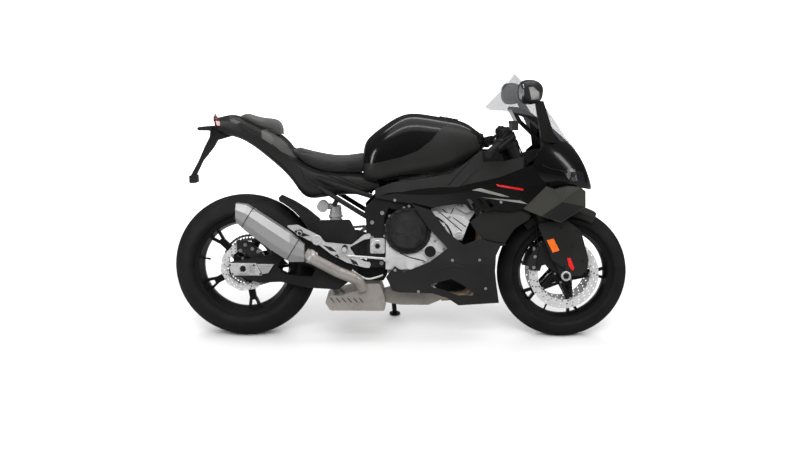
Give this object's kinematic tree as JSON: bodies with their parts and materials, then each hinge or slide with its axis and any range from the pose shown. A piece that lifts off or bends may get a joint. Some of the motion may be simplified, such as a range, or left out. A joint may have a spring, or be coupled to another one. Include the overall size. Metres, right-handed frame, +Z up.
{
  "type": "sport motorcycle",
  "caption": "Fully faired sport motorcycle leaning on its side stand, with free-turning wheels, turning steering, a folding side stand, winglets and a side exhaust.",
  "frame": {"origin": "on the ground, at the middle of the bounding box of the motorcycle as it stands", "axes": "+X forward, +Y to the rider's left, the side that it leans to, +Z up"},
  "size_m": [2.0828, 0.85, 1.2214],
  "materials": {
    "bright_metal": "satin",
    "frame_black": "satin",
    "engine_silver": "cast",
    "engine_black": "satin",
    "sprocket_steel": "satin",
    "satin_plastic": "satin",
    "swingarm_black": "satin",
    "chain_steel": "oiled",
    "shock_silver": "satin",
    "gloss_black": "gloss",
    "matt_grey": "matt",
    "seat_cover": "matt grain",
    "lamp_red": "gloss",
    "lamp_clear": "gloss",
    "clear_screen": "clear",
    "winglet_grey": "satin",
    "radiator_black": "matt",
    "muffler_steel": "brushed",
    "exhaust_heat": "heat tinted",
    "caliper_black": "satin",
    "shroud_black": "satin",
    "tyre": "matt",
    "rim_black": "satin",
    "disc_steel": "brushed",
    "fork_black": "satin",
    "clamp_black": "satin",
    "grip_rubber": "matt",
    "lever_black": "satin",
    "reservoir_plastic": "satin",
    "stand_black": "satin"
  },
  "bodies": {
    "chassis": {"axle_rear": "bright_metal", "frame": "frame_black", "engine_block": "engine_silver", "clutch_cover": "engine_black", "alternator_cover": "engine_black", "sprocket_front": "sprocket_steel", "sprocket_cover": "satin_plastic", "swingarm": "swingarm_black", "swingarm_pivot": "bright_metal", "chain": "chain_steel", "hugger_rear": "satin_plastic", "shock": "shock_silver", "subframe": "frame_black", "fuel_tank": "gloss_black", "tank_covers": "matt_grey", "rider_seat": "seat_cover", "pillion_pad": "seat_cover", "tail_unit": "satin_plastic", "tail_light": "lamp_red", "plate_holder": "satin_plastic", "upper_cowl": "gloss_black", "headlights": "lamp_clear", "front_carrier": "frame_black", "instrument": "satin_plastic", "windscreen": "clear_screen", "mirrors": "satin_plastic", "winglets": "winglet_grey", "radiator": "radiator_black", "exhaust_muffler": "muffler_steel", "exhaust_link_pipe": "exhaust_heat", "exhaust_collector": "exhaust_heat", "exhaust_headers": "exhaust_heat", "footrests": "bright_metal", "stand_bracket": "frame_black", "side_fairings": "gloss_black", "cockpit_trims": "matt_grey", "lower_fairings": "satin_plastic", "caliper_rear": "caliper_black", "radiator_shrouds": "shroud_black"},
    "front_wheel": {"tyre_front": "tyre", "rim_front": "rim_black", "discs_front": "disc_steel"},
    "rear_wheel": {"tyre_rear": "tyre", "rim_rear": "rim_black", "disc_rear": "disc_steel", "sprocket_rear": "sprocket_steel"},
    "steering": {"axle_front": "bright_metal", "fork_legs": "fork_black", "calipers_front": "caliper_black", "triple_clamps": "clamp_black", "handlebars": "grip_rubber", "levers": "lever_black", "brake_reservoir": "reservoir_plastic", "fender_front": "satin_plastic"},
    "side_stand": {"side_stand": "stand_black"}
  },
  "joints": [
    {"name": "steering_turn", "type": "hinge", "parent": "chassis", "child": "steering", "pos_m": [0.51898, -0.0696, 0.71218], "axis": [-0.4003, 0.167, 0.901], "range_deg": [-26, 26]},
    {"name": "front_wheel_spin", "type": "hinge", "parent": "steering", "child": "front_wheel", "pos_m": [0.7415, -0.14695, 0.29488], "axis": [0, 0.9833, -0.1822], "continuous": true},
    {"name": "rear_wheel_spin", "type": "hinge", "parent": "chassis", "child": "rear_wheel", "pos_m": [-0.7155, -0.14221, 0.32044], "axis": [0, 0.9833, -0.1822], "continuous": true},
    {"name": "side_stand_fold", "type": "hinge", "parent": "chassis", "child": "side_stand", "pos_m": [-0.053, -0.01125, 0.26979], "axis": [0, 0.9936, 0.1132], "range_deg": [0, 95]}
  ]
}
